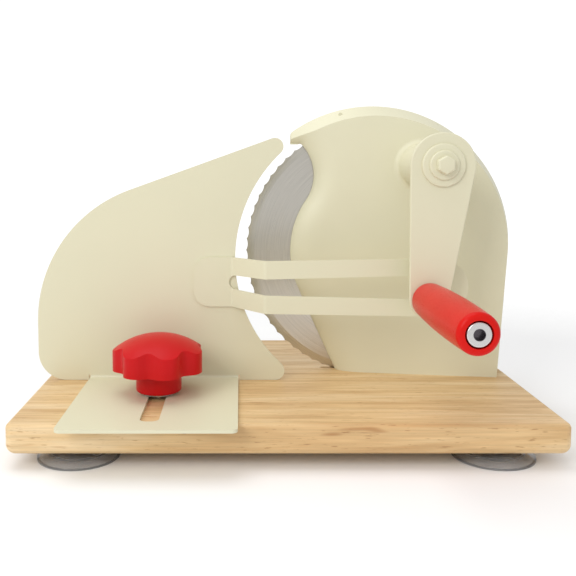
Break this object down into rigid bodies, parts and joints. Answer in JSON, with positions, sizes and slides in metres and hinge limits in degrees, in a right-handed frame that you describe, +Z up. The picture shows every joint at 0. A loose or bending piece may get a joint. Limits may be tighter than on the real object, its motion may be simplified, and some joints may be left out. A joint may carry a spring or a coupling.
{
  "type": "hand cranked bread slicer",
  "caption": "Hand cranked bread slicer: round serrated blade in a cast housing on a wooden board, sliding fence with slice guard, star clamp knob, crank and suction cups.",
  "frame": {"origin": "middle of the bounding box on the surface the cups stand on", "axes": "+X to the right along the board's front edge, +Y from the crank side to the loaf side, +Z up"},
  "size_m": [0.344, 0.278, 0.2243],
  "materials": {
    "cream_casting": "satin cream paint on a casting",
    "cream_sheet": "satin cream powder coat on steel",
    "board_wood": "oiled light hardwood, grain along X",
    "clear_cup": "clear soft plastic",
    "blade_steel": "circular brushed",
    "turned_steel": "turned",
    "zinc_screws": "zinc plated",
    "brass_bush": "turned",
    "gear_nylon": "moulded nylon",
    "red_grip": "smooth moulded",
    "red_knob": "smooth moulded"
  },
  "bodies": {
    "frame": {"base_board": "board_wood", "suction_cup_front_left": "clear_cup", "suction_cup_front_right": "clear_cup", "suction_cup_rear_left": "clear_cup", "suction_cup_rear_right": "clear_cup", "cup_screws": "zinc_screws", "housing_screws": "zinc_screws", "housing": "cream_casting", "rear_cover": "cream_sheet", "cover_screws": "zinc_screws", "crank_bushes": "brass_bush", "blade_axle": "turned_steel", "blade_washer": "turned_steel", "blade_screw": "zinc_screws", "threaded_insert": "brass_bush"},
    "blade": {"blade": "blade_steel", "blade_gear": "gear_nylon", "gear_screws": "zinc_screws", "blade_bush": "brass_bush"},
    "crank": {"crank_shaft": "turned_steel", "crank_pinion": "gear_nylon", "crank_arm": "cream_sheet", "arm_washer_large": "cream_sheet", "arm_washer_small": "cream_sheet", "crank_bolt": "cream_sheet", "handle_bolt": "zinc_screws", "handle_nut": "zinc_screws"},
    "handle": {"crank_handle": "red_grip"},
    "fence": {"fence": "cream_sheet", "slice_guard": "cream_sheet"},
    "knob_washer": {"knob_washer": "turned_steel"},
    "knob": {"clamp_knob": "red_knob", "knob_stud": "turned_steel"}
  },
  "joints": [
    {"name": "blade_spin", "type": "hinge", "parent": "frame", "child": "blade", "pos_m": [0.0709, 0.0442, 0.1176], "axis": [0, 1, 0], "continuous": true},
    {"name": "crank_turn", "type": "hinge", "parent": "frame", "child": "crank", "pos_m": [0.10159, -0.035, 0.18052], "axis": [0, 1, 0], "continuous": true},
    {"name": "handle_spin", "type": "hinge", "parent": "crank", "child": "handle", "pos_m": [0.09395, -0.085, 0.09325], "axis": [0, 1, 0], "continuous": true},
    {"name": "fence_slide", "type": "slide", "parent": "frame", "child": "fence", "axis": [0, 1, 0], "range_m": [-0.004, 0.033]},
    {"name": "knob_lift", "type": "slide", "parent": "frame", "child": "knob_washer", "axis": [0, 0, 1], "range_m": [0, 0.00187]},
    {"name": "knob_turn", "type": "hinge", "parent": "knob_washer", "child": "knob", "pos_m": [-0.0825, -0.0278, 0.028], "axis": [0, 0, 1], "range_deg": [0, 540]}
  ],
  "couplings": [
    {"joint": "crank_turn", "follows": "blade_spin", "ratio": -1.6923},
    {"joint": "knob_turn", "follows": "knob_lift", "rad_per_m": 5026.5}
  ]
}
